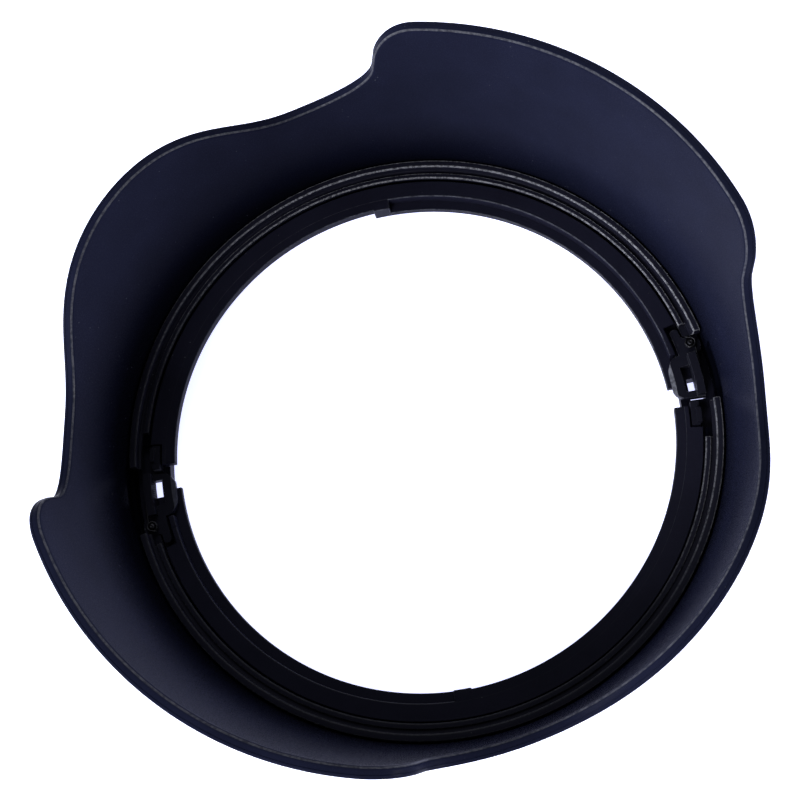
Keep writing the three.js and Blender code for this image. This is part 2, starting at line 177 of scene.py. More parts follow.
def section_normals(points):
    """Outward normals of a closed section, whatever way it runs."""
    p = np.array([q[:2] for q in points])
    ahead = np.roll(p, -1, 0) - p
    area = np.sum(p[:, 0] * np.roll(p[:, 1], -1) - np.roll(p[:, 0], -1) * p[:, 1])
    side = np.stack([ahead[:, 1], -ahead[:, 0]], 1) * np.sign(area)
    length = np.maximum(np.linalg.norm(side, axis=1, keepdims=True), 1e-9)
    side = side / length
    mean = side + np.roll(side, 1, 0)
    return mean / np.maximum(np.linalg.norm(mean, axis=1, keepdims=True), 1e-9)


class Solid:
    """Vertices in millimetres, faces and the material slot of each face."""

    def __init__(self):
        self.verts = []
        self.faces = []
        self.slots = []

    def rings(self, rings, worn, closed):
        """Joins rings of equal length. worn gives the slot of the face before each point."""
        first = len(self.verts)
        n = len(rings[0])
        for ring in rings:
            self.verts.extend(ring)
        count = len(rings)
        for k in range(count if closed else count - 1):
            a = first + k * n
            b = first + ((k + 1) % count) * n
            for i in range(n):
                j = (i + 1) % n
                self.faces.append((a + i, a + j, b + j, b + i))
                self.slots.append(EDGE if worn[j] else BASE)
        if not closed:
            last = first + (count - 1) * n
            self.faces.append(tuple(reversed(range(first, first + n))))
            self.faces.append(tuple(range(last, last + n)))
            self.slots.extend((BASE, BASE))
        return self


def sweep(section, start, stop, step=1.0, end_bevel=0.1, rub_ends=False):
    """A section carried round Z from one azimuth to another, with bevelled ends."""
    solid = Solid()
    worn = [q[2] for q in section]
    p = np.array([q[:2] for q in section])
    full = stop - start >= 360
    if full:
        count = int(round(360 / step))
        azimuths = [(start + k * 360 / count, 0.0) for k in range(count)]
    else:
        count = max(2, int(math.ceil((stop - start) / step)))
        turn = math.degrees(end_bevel / float(p[:, 0].mean()))
        inner = [(start + turn + k * (stop - start - 2 * turn) / count, 0.0) for k in range(count + 1)]
        lead = [(start, end_bevel), (start + turn * 0.3, end_bevel * 0.3)] if end_bevel else []
        tail = [(stop - turn * 0.3, end_bevel * 0.3), (stop, end_bevel)] if end_bevel else []
        azimuths = lead + inner + tail
    normals = section_normals(section)
    rings = []
    for azimuth, inset in azimuths:
        q = p - normals * inset
        rings.append([polar(azimuth, r, z) for r, z in q])
    solid.rings(rings, worn, full)
    if rub_ends and not full and end_bevel:
        n = len(section)
        for k in (0, 1, len(rings) - 3, len(rings) - 2):
            for i in range(n):
                solid.slots[k * n + i] = EDGE
    return solid


def box_section(inner, outer, bottom, top, radius=0.12, worn=()):
    """A rectangular section. worn lists its rubbed corners: 'ib', 'ob', 'ot', 'it'."""
    corners = {"ib": (inner, bottom), "ob": (outer, bottom), "ot": (outer, top), "it": (inner, top)}
    return rounded([(r, z, radius, int(key in worn)) for key, (r, z) in corners.items()])


def make(solid, name):
    """An object of the solid, in metres."""
    mesh = bpy.data.meshes.new(name)
    mesh.from_pydata([tuple(c * MM for c in v) for v in solid.verts], [], solid.faces)
    mesh.polygons.foreach_set("material_index", solid.slots)
    obj = bpy.data.objects.new(name, mesh)
    bpy.context.scene.collection.objects.link(obj)
    bm = bmesh.new()
    bm.from_mesh(mesh)
    bmesh.ops.recalc_face_normals(bm, faces=bm.faces)
    bm.to_mesh(mesh)
    bm.free()
    for _ in (BASE, EDGE):
        mesh.materials.append(None)
    return obj


def settle(obj):
    """Replaces the object's mesh by what its modifiers make of it."""
    graph = bpy.context.evaluated_depsgraph_get()
    mesh = bpy.data.meshes.new_from_object(obj.evaluated_get(graph), preserve_all_data_layers=True,
                                           depsgraph=graph)
    old = obj.data
    obj.modifiers.clear()
    obj.data = mesh
    bpy.data.meshes.remove(old)
    return obj


def combine(obj, others, operation):
    """Adds or cuts the other objects, which are used up."""
    for other in others:
        modifier = obj.modifiers.new("combine", "BOOLEAN")
        modifier.operation = operation
        modifier.solver = "MANIFOLD"
        modifier.object = other
        settle(obj)
        mesh = other.data
        bpy.data.objects.remove(other)
        bpy.data.meshes.remove(mesh)
    return obj


def feature(station, place, bottom, top):
    """A plain sector at a station, between two heights."""
    inner, outer, start, stop = place
    section = [(inner, bottom, 0), (outer, bottom, 0), (outer, top, 0), (inner, top, 0)]
    return make(sweep(section, station - stop, station - start, 0.5, 0), "feature")


def prism(outline, bottom, top):
    """An outline of (x, y) points pulled up between two heights."""
    solid = Solid()
    worn = [0] * len(outline)
    solid.rings([[(x, y, z) for x, y in outline] for z in (bottom, top)], worn, False)
    return solid


def turned_outline(azimuth, points):
    """Points (along the azimuth, across it) as (x, y)."""
    c, s = math.cos(math.radians(azimuth)), math.sin(math.radians(azimuth))
    return [(x * c - y * s, x * s + y * c) for x, y in points]


def block(azimuth, x, y, z, name="cutter"):
    corners = [(x[0], y[0]), (x[1], y[0]), (x[1], y[1]), (x[0], y[1])]
    return make(prism(turned_outline(azimuth, corners), z[0], z[1]), name)


def lathe(profile, azimuth, radius, name="cutter", sides=48):
    """A profile of (r, z) points, from the axis and back to it, turned about an upright axis."""
    cx, cy, _ = polar(azimuth, radius)
    solid = Solid()
    inner = profile[1:-1]
    for k in range(sides):
        a = 2 * math.pi * k / sides
        solid.verts.extend((cx + r * math.cos(a), cy + r * math.sin(a), z) for r, z in inner)
    n = len(inner)
    for k in range(sides):
        a, b = k * n, ((k + 1) % sides) * n
        for i in range(n - 1):
            solid.faces.append((a + i, b + i, b + i + 1, a + i + 1))
    for z, i in ((profile[0][1], 0), (profile[-1][1], n - 1)):
        solid.verts.append((cx, cy, z))
        pole = len(solid.verts) - 1
        for k in range(sides):
            solid.faces.append((pole, k * n + i, ((k + 1) % sides) * n + i))
    solid.slots = [BASE] * len(solid.faces)
    return make(solid, name)


def tube(points, radius, name, sides=12):
    """A round wire along a path, with closed ends."""
    p = [Vector(q) for q in points]
    solid = Solid()
    side = None
    rings = []
    for i, q in enumerate(p):
        along = (p[min(i + 1, len(p) - 1)] - p[max(i - 1, 0)]).normalized()
        if side is None:
            side = along.cross(Vector((0, 0, 1))).normalized()
        side = (side - along * side.dot(along)).normalized()
        up = along.cross(side)
        scale = 0.6 if i in (0, len(p) - 1) else 1.0
        ring = [q + (side * math.cos(2 * math.pi * k / sides) + up * math.sin(2 * math.pi * k / sides))
                * radius * scale for k in range(sides)]
        rings.append([tuple(v) for v in ring])
    solid.rings(rings, [0] * sides, False)
    return make(solid, name)


def bevelled(obj, width, segments=2, angle=35, rub=True):
    """Rounds the object's sharp edges, and gives them the rubbed finish."""
    bm = bmesh.new()
    bm.from_mesh(obj.data)
    bmesh.ops.remove_doubles(bm, verts=bm.verts, dist=2e-6)
    bmesh.ops.dissolve_limit(bm, angle_limit=math.radians(1.0), verts=bm.verts, edges=bm.edges)
    bm.to_mesh(obj.data)
    bm.free()
    modifier = obj.modifiers.new("edges", "BEVEL")
    modifier.width = width * MM
    modifier.segments = segments
    modifier.limit_method = "ANGLE"
    modifier.angle_limit = math.radians(angle)
    modifier.material = EDGE if rub else -1
    modifier.miter_outer = "MITER_ARC"
    return settle(obj)


def finish_piece(obj, name, body, nodes, materials, angle=38):
    """Names a piece, shades it, gives it its materials, and puts it on its body."""
    obj.name = name
    obj.data.name = name
    obj.data.polygons.foreach_set("use_smooth", [True] * len(obj.data.polygons))
    obj.data.set_sharp_from_angle(angle=math.radians(angle))
    modifier = obj.modifiers.new("normals", "WEIGHTED_NORMAL")
    modifier.keep_sharp = True
    modifier.weight = 80
    for i, material in enumerate(materials):
        obj.data.materials[i] = material
    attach(obj, body)
    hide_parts(*nodes)
    return obj


# ---- materials ----
RUBBED = (0.16, 0.17, 0.21)
BRIGHT = (0.46, 0.47, 0.53)
DUST = (0.30, 0.31, 0.34)
PAINTED_LIGHT_SIDE = 98               # azimuth of the side where the rubbed edges are painted brightest, a painted highlight for light from that side
PAINTED_SHADE_TILT = polar(40, 0.11, 1.0)    # up, tilted so that the painted shade near the collar reaches higher opposite 40


class Paint:
    """A node material in the making. Its textures are placed and sized in millimetres."""

    def __init__(self, name, stretch=1):
        self.material = bpy.data.materials.new(name)
        self.material.use_nodes = True
        self.shader = self.material.node_tree.nodes["Principled BSDF"]
        own = self.node("ShaderNodeTexCoord").outputs["Object"]
        scale = (1 / MM, 1 / MM, stretch / MM)
        self.place = self.node("ShaderNodeMapping", Vector=own, Scale=scale).outputs["Vector"]

    def feed(self, socket, value):
        """Links a socket to another node's output, or sets its value."""
        if isinstance(value, bpy.types.NodeSocket):
            self.material.node_tree.links.new(value, socket)
        else:
            socket.default_value = value

    def node(self, kind, **inputs):
        n = self.material.node_tree.nodes.new(kind)
        for key, value in inputs.items():
            self.feed(n.inputs[key.replace("_", " ")], value)
        return n

    def noise(self, size, detail, roughness):
        return self.node("ShaderNodeTexNoise", Vector=self.place, Scale=1 / size, Detail=detail,
                         Roughness=roughness).outputs["Fac"]

    def spread(self, source, low, high, to_low=0.0, to_high=1.0):
        """Stretches the range from low to high over another one, and clamps what lies outside."""
        return self.node("ShaderNodeMapRange", Value=source, From_Min=low, From_Max=high,
                         To_Min=to_low, To_Max=to_high).outputs["Result"]

    def mix(self, factor, a, b):
        n = self.node("ShaderNodeMix")
        n.data_type = "RGBA"
        self.feed(n.inputs[0], factor)
        for socket, colour in ((n.inputs[6], a), (n.inputs[7], b)):
            self.feed(socket, (*colour, 1.0) if isinstance(colour, tuple) else colour)
        return n.outputs[2]

    def times(self, a, b):
        n = self.node("ShaderNodeMath")
        n.operation = "MULTIPLY"
        self.feed(n.inputs[0], a)
        self.feed(n.inputs[1], b)
        return n.outputs[0]

    def along(self, direction):
        """How far a point lies along a direction, in millimetres."""
        n = self.node("ShaderNodeVectorMath")
        n.operation = "DOT_PRODUCT"
        self.feed(n.inputs[0], self.place)
        self.feed(n.inputs[1], direction)
        return n.outputs["Value"]

    def finish(self, colour, roughness, relief, strength, depth):
        self.feed(self.shader.inputs["Base Color"], colour)
        self.feed(self.shader.inputs["Roughness"], roughness)
        bump = self.node("ShaderNodeBump", Strength=strength, Distance=depth * MM, Height=relief)
        self.feed(self.shader.inputs["Normal"], bump.outputs["Normal"])
        return self.material


def scaled(colour, factor):
    return tuple(c * factor for c in colour)


def moulded(name, base, rough, grain=0.16, bump=0.35, specular=0.3, specks=0.25, painted_shade=None,
            rub=0.0, light=RUBBED, patch=1.1, lit_side=None):
    """Moulded plastic: a fine spark-eroded grain, cloudy colour and dust specks.

    A pair of heights for the painted shade gives a band over which the colour comes up from nearly black:
    painted shade, darker towards the collar and reaching higher on one side. rub is the strength of a broken
    lighter layer, as on an edge that has been handled: light is its colour and patch the size of its patches.
    An azimuth for the painted light makes that layer strongest on one side: wear with a painted highlight for
    light falling from that side."""
    paint = Paint(name)
    paint.shader.inputs["Specular IOR Level"].default_value = specular
    fine = paint.noise(grain, 3.0, 0.6)
    cloud = paint.noise(9.0, 3.0, 0.6)
    colour = paint.mix(paint.spread(cloud, 0.32, 0.68), scaled(base, 0.88), scaled(base, 1.12))
    colour = paint.mix(paint.spread(fine, 0.52, 0.78, 0.0, 0.35), colour, scaled(base, 2.1))
    # Painted shade: the colour sinks to a fifth of itself towards the collar, along an up direction tilted to
    # one side.
    if painted_shade:
        shade_fade = paint.spread(paint.along(PAINTED_SHADE_TILT), *painted_shade)
        colour = paint.mix(shade_fade, scaled(base, 0.2), colour)
    if rub:
        wear_and_painted_light = paint.spread(paint.noise(patch, 4.0, 0.7), 0.40, 0.60, rub * 0.15, rub)
        # Painted highlight: the rubbed layer is cut to a small share away from one side, standing for light
        # that falls from that side, on top of the wear.
        if lit_side is not None:
            side = paint.along(polar(lit_side, 1.0))
            wear_and_painted_light = paint.times(wear_and_painted_light, paint.spread(side, -8.0, 30.0, 0.07, 1.0))
        colour = paint.mix(wear_and_painted_light, colour, light)
    cells = paint.node("ShaderNodeTexVoronoi", Vector=paint.place, Scale=1 / 1.3)
    dots = paint.spread(cells.outputs["Distance"], 0.035, 0.075, specks, 0.0)
    colour = paint.mix(paint.times(dots, paint.spread(cloud, 0.5, 0.62)), colour, DUST)
    gloss = paint.spread(fine, 0.3, 0.7, rough - 0.08, rough + 0.08)
    return paint.finish(colour, gloss, fine, bump, grain * 0.35)


def metal(name, base, rough):
    """Bright steel with fine drawing lines and a cloudy tarnish."""
    paint = Paint(name, 4)
    paint.shader.inputs["Metallic"].default_value = 1.0
    lines = paint.noise(0.05, 2.0, 0.5)
    tarnish = paint.noise(1 / 1.4, 2.0, 0.5)
    colour = paint.mix(tarnish, scaled(base, 0.55), base)
    return paint.finish(colour, paint.spread(lines, 0.0, 1.0, rough - 0.08, rough + 0.12), lines, 0.2, 0.01)


# The shell's own plastic carries painted shade, nearly black towards the collar.
SHELL = [moulded("shell_plastic", (0.0058, 0.0068, 0.0165), 0.26, bump=0.14, specular=0.006,
                 painted_shade=(5.5, 19.0)),
         moulded("shell_edge", (0.0100, 0.0110, 0.0200), 0.34, specular=0.05, rub=0.09, light=BRIGHT,
                 patch=0.5)]
RING = [moulded("ring_plastic", (0.0080, 0.0082, 0.0165), 0.42, grain=0.12, specular=0.04),
        moulded("ring_edge", (0.009, 0.0095, 0.016), 0.40, grain=0.12, specular=0.08, rub=0.28,
                lit_side=PAINTED_LIGHT_SIDE)]
BAFFLE = [moulded("baffle_plastic", (0.0075, 0.0077, 0.0150), 0.45, grain=0.2, specular=0.06),
          moulded("baffle_edge", (0.007, 0.0075, 0.013), 0.40, grain=0.2, specular=0.08, rub=0.42,
                  light=BRIGHT, patch=0.45, lit_side=PAINTED_LIGHT_SIDE)]
LATCH = [moulded("latch_acetal", (0.0070, 0.0072, 0.0130), 0.34, grain=0.1, bump=0.2, specular=0.05),
         moulded("latch_edge", (0.018, 0.019, 0.027), 0.30, grain=0.1, specular=0.2, rub=0.20,
                 light=BRIGHT, patch=0.6, lit_side=PAINTED_LIGHT_SIDE)]
BUTTON = [moulded("button_plastic", (0.008, 0.0085, 0.012), 0.28, grain=0.1, bump=0.15, specular=0.5),
          moulded("button_edge", (0.014, 0.015, 0.020), 0.26, grain=0.1, specular=0.5, rub=0.3)]
STEEL = [metal("spring_steel", (0.030, 0.030, 0.036), 0.42), metal("worn_steel", (0.20, 0.20, 0.21), 0.3)]
MARK = [moulded("mark_paint", (0.62, 0.62, 0.58), 0.5, grain=0.1, specks=0.1),
        moulded("mark_rim", (0.50, 0.50, 0.47), 0.5, grain=0.1, rub=0.3, light=(0.8, 0.8, 0.77))]


# ---- the shade's shell ----
def quarter_rim():
    """The rim from the middle of a large petal to the middle of a small one, as (angle, z)."""
    valley = (VALLEY_ANGLE, VALLEY_HEIGHT)
    flat = [(FLAT_HALF * k / 30, HEIGHT) for k in range(31)]
    corner = cubic(flat[-1], *CORNER_BEND, CORNER_END, 18)
    side = [tuple(a + (b - a) * k / 4 for a, b in zip(CORNER_END, SIDE_FOOT)) for k in range(1, 5)]
    run_in = cubic(SIDE_FOOT, *FOOT_BEND, valley, 20)
    bell = cubic(valley, *BELL_BEND, (90.0, BELL_HEIGHT), 36)
    return flat + corner + side + run_in + bell


def rim_line():
    """The rim once round, as (azimuth, z)."""
    quarter = quarter_rim()
    back = [(90 - angle, z) for angle, z in reversed(quarter)]
    line = []
    for k in range(4):
        run = quarter if k % 2 == 0 else back
        line.extend((90 * (k + 1) + angle, z) for angle, z in run[:-1])
    return line


def cone_radius(z):
    return COLLAR_RADIUS + (RIM_RADIUS - COLLAR_RADIUS) * (z - COLLAR_TOP) / (HEIGHT - COLLAR_TOP)


# The rim's cross-section as (depth below the rim, distance from the outside, worn): a rounded
# outer shoulder, a fine moulding step, a flat top, and a chamfer to the inside.
RIM_PROFILE = [
    (1.30, 0.00, 0), (0.42, 0.00, 0), (0.24, 0.03, 0), (0.11, 0.10, 0), (0.03, 0.22, 0), (0.0, 0.36, 0),
    (0.0, 0.46, 0), (0.05, 0.50, 0), (0.05, 0.56, 0), (0.0, 0.60, 0), (0.0, 0.90, 0), (0.0, 1.12, 0),
    (0.04, 1.22, 0), (0.12, 1.33, 1), (0.24, 1.42, 1), (0.40, 1.48, 0), (0.56, 1.50, 0), (1.30, 1.50, 0),
]
BODY_ROWS = (0.10, 0.25, 0.45, 0.65, 0.85)    # shares of the way up the cone
MEAN_RADIUS = 47.8                            # of the rim, to lay it out flat


def shell_solid():
    line = rim_line()
    flat = np.array([(math.radians(a) * MEAN_RADIUS, z) for a, z in line])
    ahead, behind = np.roll(flat, -1, 0), np.roll(flat, 1, 0)
    around = 2 * math.pi * MEAN_RADIUS
    ahead[-1, 0] += around
    behind[0, 0] -= around
    tangent = ahead - behind
    tangent /= np.linalg.norm(tangent, axis=1, keepdims=True)
    inward = np.stack([tangent[:, 1], -tangent[:, 0]], 1)
    inner_top = COLLAR_RADIUS - COLLAR_WALL
    lower = rounded([
        (SEAT_BORE, 0.0, 0.10, 0), (COLLAR_RADIUS - 0.4, 0.0, 0.20, 0), (COLLAR_RADIUS, 0.4, 0.20, 0),
        (COLLAR_RADIUS, COLLAR_TOP, 1.2, 0), (RIM_RADIUS, HEIGHT, 0, 0), (RIM_RADIUS - WALL, HEIGHT, 0, 0),
        (inner_top, COLLAR_TOP, 1.6, 0), (inner_top, FLANGE_TOP, 0.25, 0), (FLANGE_BORE, FLANGE_TOP, 0.12, 0),
        (FLANGE_BORE, FLANGE_BOTTOM, 0.10, 0), (SEAT_BORE, FLANGE_BOTTOM, 0.12, 0)])
    split = next(i for i, q in enumerate(lower) if q[1] == HEIGHT)
    outside, inside = lower[:split], lower[split + 2:]
    rings = []
    worn = []
    for k, (azimuth, _) in enumerate(line):
        rim = []
        for depth, distance, rub in RIM_PROFILE:
            s, z = flat[k] + inward[k] * depth
            rim.append((math.degrees(s / MEAN_RADIUS), cone_radius(z) - distance, z, rub))
        ring = [(azimuth, r, z, rub) for r, z, rub in outside]
        for end, rows in ((rim[0], BODY_ROWS), (rim[-1], BODY_ROWS[::-1])):
            base = outside[-1] if end is rim[0] else inside[0]
            if end is rim[-1]:
                ring.extend(rim)
            for f in rows:
                a = azimuth + (end[0] - azimuth) * f * f
                ring.append((a, base[0] + (end[1] - base[0]) * f, base[1] + (end[2] - base[1]) * f, 0))
        ring.extend((azimuth, r, z, rub) for r, z, rub in inside)
        rings.append([polar(a, r, z) for a, r, z, _ in ring])
        worn = [q[3] for q in ring]
    return Solid().rings(rings, worn, True)


def build_shell():
    shell = make(shell_solid(), "shade_shell")
    cutters = []
    half = BUTTON_HALF_WIDTH + 0.25
    for station in STATIONS.values():
        cutters.append(feature(station, FLANGE_GAP, FLANGE_BOTTOM - 0.2, FLANGE_TOP + 0.2))
        cutters.append(feature(station, BAR_RECESS, FLANGE_TOP, BAR_RECESS_TOP))
        cutters.append(block(station - BUTTON_ANGLE, (42.5, 47.0), (-half, half),
                             (BUTTON_BOTTOM - 0.15, BUTTON_TOP + 0.15)))
    for azimuth in INDEX_MARKS.values():
        cutters.append(mark_disc(azimuth, INDEX_RADIUS + 0.1, COLLAR_RADIUS - 0.5, COLLAR_RADIUS + 1.0, 0.0))
    combine(shell, cutters, "DIFFERENCE")
    return finish_piece(shell, "shade_shell", "hood", ["hood_shell"], SHELL)


def mark_disc(azimuth, radius, inner, outer, edge):
    """A round disc that lies on the collar's outside."""
    profile = [(0, inner), (radius, inner), (radius, outer - edge), (radius - edge, outer), (0, outer)]
    disc = lathe(profile, 0, 0)
    turn = Matrix.Rotation(math.radians(90), 4, "Y")
    place = Matrix.Translation((0, 0, INDEX_HEIGHT * MM))
    disc.data.transform(Matrix.Rotation(math.radians(azimuth), 4, "Z") @ place @ turn)
    return disc


# ---- the bayonet ring ----
def button_pocket(station):
    half = BUTTON_HALF_WIDTH + 0.3
    return block(station - BUTTON_ANGLE, (41.6, 44.0), (-half, half), (POCKET_BOTTOM, POCKET_TOP + 0.1))


def build_ring():
    rim_radius = SEAT_BORE - 0.03
    sleeve = FLANGE_BORE - 0.3
    section = rounded([
        (RING_BORE, RING_BOTTOM, 0.2, 0), (rim_radius, RING_BOTTOM, 0.2, 0),
        (rim_radius, RING_BASE_TOP, 0.1, 0), (sleeve, RING_BASE_TOP, 0.1, 0),
        (sleeve, RING_FACE, 0.12, 0), (RING_BORE, RING_FACE, 0.16, 1)])
    ring = make(sweep(section, 0, 360, 0.75), "bayonet_ring")
    cutters = []
    for station in STATIONS.values():
        for window in (LEVER_WINDOW, PLATE_WINDOW, FINGER_SLOT):
            cutters.append(feature(station, window, RING_BASE_TOP, OPEN_TOP))
        cutters.append(feature(station, TAIL_POCKET, RING_BASE_TOP, LEVER_TOP - 0.05))
        cutters.append(button_pocket(station))
        cutters.append(feature(station, SIGHT_HOLE, 0, RING_BASE_TOP + 1))
        cutters.append(lathe([(0, 1.0), (PIN_RADIUS + 0.05, 1.0), (PIN_RADIUS + 0.05, 3.5), (0, 3.5)],
                             station - PIVOT_ANGLE, PIVOT_RADIUS))
    for azimuth in SCREW_AZIMUTHS:
        cutters.append(lathe(SCREW_HOLE, azimuth, SCREW_CIRCLE))
    combine(ring, cutters, "DIFFERENCE")
    root = RING_BORE + 0.2
    added = []
    for station in STATIONS.values():
        turn = station - STATIONS["a"]
        wall = box_section(RING_BORE, WINDOW_WALL_OUTER, RING_BASE_TOP - 0.1, RING_FACE, 0.1, ("it",))
        added.append(make(sweep(wall, station - WINDOW_WALL_END, station - WINDOW_START + 0.1, 0.5), "wall"))
        added.append(make(sweep(box_section(LIP_RADIUS, root, LIP_BOTTOM, LIP_TOP, 0.14, ("it", "ib")),
                                station - LIP_START, STOP_START + turn + 0.3), "lip"))
        added.append(make(sweep(box_section(LIP_RADIUS, root, LIP_BOTTOM, RING_FACE, 0.14, ("it",)),
                                STOP_START + turn, STOP_END + turn, 0.5, 0.14, True), "stop"))
        added.append(make(sweep(box_section(SHELF_RADIUS, root, SHELF_BOTTOM, RING_FACE, 0.14, ("it", "ib")),
                                STOP_END + turn - 0.5, station + 180 - SHELF_ANGLE), "shelf"))
    combine(ring, added, "UNION")
    return finish_piece(ring, "bayonet_lock_ring", "hood", ["bayonet_ring"], RING)


# ---- the stepped baffle between the latches ----
OUTER_SECTION = [
    (42.3, 4.3, 0.08, 0), (43.7, 4.3, 0.08, 0), (43.7, 6.4, 0.18, 1), (42.65, 6.4, 0.22, 1),
    (42.65, 5.0, 0.10, 0), (42.3, 5.0, 0.05, 0)]
INNER_SECTION = [
    (41.4, 4.3, 0.08, 0), (42.5, 4.3, 0.05, 0), (42.5, 5.0, 0.05, 0), (42.0, 5.0, 0.08, 0),
    (42.0, 5.4, 0.14, 1), (41.2, 5.4, 0.20, 1), (41.2, 4.9, 0.12, 0), (41.4, 4.9, 0.05, 0)]


def build_baffle(name, station):
    arc, low = (make(sweep(rounded(corners), station + ends[0], station + 180 - ends[1], 0.5, 0.12, True),
                     name)
                for corners, ends in ((OUTER_SECTION, OUTER_RIDGE), (INNER_SECTION, INNER_RIDGE)))
    combine(arc, [low], "UNION")
    combine(arc, [button_pocket(station)], "DIFFERENCE")
    return finish_piece(arc, "baffle_ring_" + name, "hood", ["baffle_arc_" + name], BAFFLE)


# ---- the latch ----
# The lever's outline goes on from its start with (via angle, via radius, angle, radius) for a curve
# and (angle, radius) for a straight side.
LEVER_START = (9.3, 42.0)
LEVER_STEPS = [
    (5.0, 42.05, 0.6, 42.0), (0.2, 43.4, -1.8, 43.4), (-4.0, 43.4, -4.2, 42.4),
    (-8.6, 42.45, -13.0, 42.35), (-13.6, 42.0, -13.0, 41.5), (-8.6, 41.5, -3.7, 41.35),
    (-3.7, 41.0), (-5.4, 41.0), (-6.3, 40.4, -5.4, 39.8), (-0.2, 39.8), (0.2, 38.7),
    (1.4, 37.8, 2.8, 37.65), (5.0, 37.55, 7.2, 37.65), (8.5, 37.9, 9.2, 38.9), (9.3, 40.2)]
NOSE_RAMP = [(37.0, 3.05, 1), (38.35, 4.4, 1), (37.0, 4.4, 1)]
PIN_PROFILE = [
    (0, 1.1), (0.37, 1.1), (PIN_RADIUS, 1.2), (PIN_RADIUS, 5.2), (0.42, 5.31), (0.34, 5.38),
    (0.20, 5.4), (0.12, 5.35), (0, 5.34)]
COIL_RADIUS = 0.68
COIL_TURNS = 2.2
COIL_PITCH = 0.36
LEG_OUT = 3.4
LEG_IN = 0.9
WIRE_RADIUS = 0.14
SPRING_TILT = 8
BUTTON_ROOT = 43.1
BUTTON_SHOULDER = 0.35
BUTTON_MARGIN = 0.45
RIB_COUNT = 7
RIB_DEPTH = 0.22


def lever_outline(station):
    def at(angle, radius):
        return polar(station - angle, radius)[:2]

    outline = [at(*LEVER_START)]
    for step in LEVER_STEPS:
        if len(step) == 2:
            outline.append(at(*step))
        else:
            outline.extend(quadratic(outline[-1], at(*step[:2]), at(*step[2:]), 12))
    return outline


def build_lever(name, station):
    lever = make(prism(lever_outline(station), LEVER_BOTTOM, LEVER_TOP), name)
    bar = feature(station, LEVER_BAR, LEVER_TOP - 0.05, BAR_TOP)
    combine(lever, [feature(station, THIN_TAIL, LEVER_TOP - 0.3, OPEN_TOP)], "DIFFERENCE")
    combine(lever, [make(sweep(NOSE_RAMP, station - 9.0, station - 0.2, 0.5, 0), "ramp")], "DIFFERENCE")
    combine(lever, [bar], "UNION")
    bore = PIN_RADIUS + 0.1
    hole = lathe([(0, 2), (bore, 2), (bore, 6), (0, 6)], station - PIVOT_ANGLE, PIVOT_RADIUS)
    combine(lever, [feature(station, LEVER_HOLE, 2, 5), hole], "DIFFERENCE")
    bevelled(lever, 0.09)
    return finish_piece(lever, "latch_rocker_" + name, "lever_" + name, ["latch_lever_" + name],
                        LATCH)


def build_pin(name, station):
    pin = lathe(PIN_PROFILE, station - PIVOT_ANGLE, PIVOT_RADIUS, name, 32)
    return finish_piece(pin, "pivot_rivet_" + name, "hood", ["pivot_pin_" + name], STEEL)


def build_spring(name, station):
    """The long leg along the lever's bar, the coil round the pin, and a short leg."""
    local = [(COIL_RADIUS, -LEG_OUT + LEG_OUT * k / 6, 0.0) for k in range(6)]
    count = int(COIL_TURNS * 28)
    for k in range(count + 1):
        a = COIL_TURNS * 2 * math.pi * k / count
        local.append((COIL_RADIUS * math.cos(a), COIL_RADIUS * math.sin(a), COIL_PITCH * a / (2 * math.pi)))
    x, y, z = local[-1]
    local.extend((x - math.sin(a) * LEG_IN * k / 3, y + math.cos(a) * LEG_IN * k / 3, z)
                 for k in range(1, 4))
    azimuth = station - PIVOT_ANGLE
    centre = polar(azimuth, PIVOT_RADIUS, LEVER_TOP + 0.3)
    flat = turned_outline(azimuth - SPRING_TILT, [(x, y) for x, y, _ in local])
    path = [(centre[0] + x, centre[1] + y, centre[2] + q[2]) for (x, y), q in zip(flat, local)]
    spring = tube(path, WIRE_RADIUS, name)
    return finish_piece(spring, "torsion_spring_" + name, "lever_" + name, ["return_spring_" + name],
                        STEEL, 60)


def build_button(name, station):
    azimuth = station - BUTTON_ANGLE
    half = BUTTON_HALF_WIDTH
    pitch = 2 * (half - BUTTON_MARGIN) / RIB_COUNT
    shoulder = BUTTON_FACE - BUTTON_SHOULDER
    outline = [(BUTTON_ROOT, -half), (shoulder, -half)]
    for k in range(RIB_COUNT + 1):
        y = -half + BUTTON_MARGIN + k * pitch
        crown = math.sqrt(BUTTON_FACE ** 2 - y * y)
        outline.append((crown, y - pitch * 0.28))
        outline.append((crown, y + pitch * 0.10))
        if k < RIB_COUNT:
            outline.append((crown - RIB_DEPTH, y + pitch * 0.28))
            outline.append((crown - RIB_DEPTH, y + pitch * 0.55))
    outline.extend([(shoulder, half), (BUTTON_ROOT, half)])
    body = make(prism(turned_outline(azimuth, outline), BUTTON_BOTTOM, BUTTON_TOP), name)
    flange = block(azimuth, (42.95, 43.35), (-half, half), (POCKET_BOTTOM + 0.2, POCKET_TOP - 0.2), "flange")
    nub = block(azimuth, (42.62, 43.0), (-0.4, 2.0), (3.0, 3.8), "nub")
    combine(body, [flange, nub], "UNION")
    bevelled(body, 0.12, 2, 30)
    return finish_piece(body, "press_button_" + name, "button_" + name, ["release_button_" + name],
                        BUTTON)


def build_stop_plate(name, station):
    pad = feature(station, STOP_PAD, RING_BASE_TOP + 0.2, STOP_PAD_TOP)
    step = feature(station, STOP_STEP, 4.3, STOP_STEP_TOP)
    combine(pad, [step], "UNION")
    bevelled(pad, 0.08, rub=False)
    return finish_piece(pad, "lever_stop_" + name, "hood", ["stop_plate_" + name], LATCH)


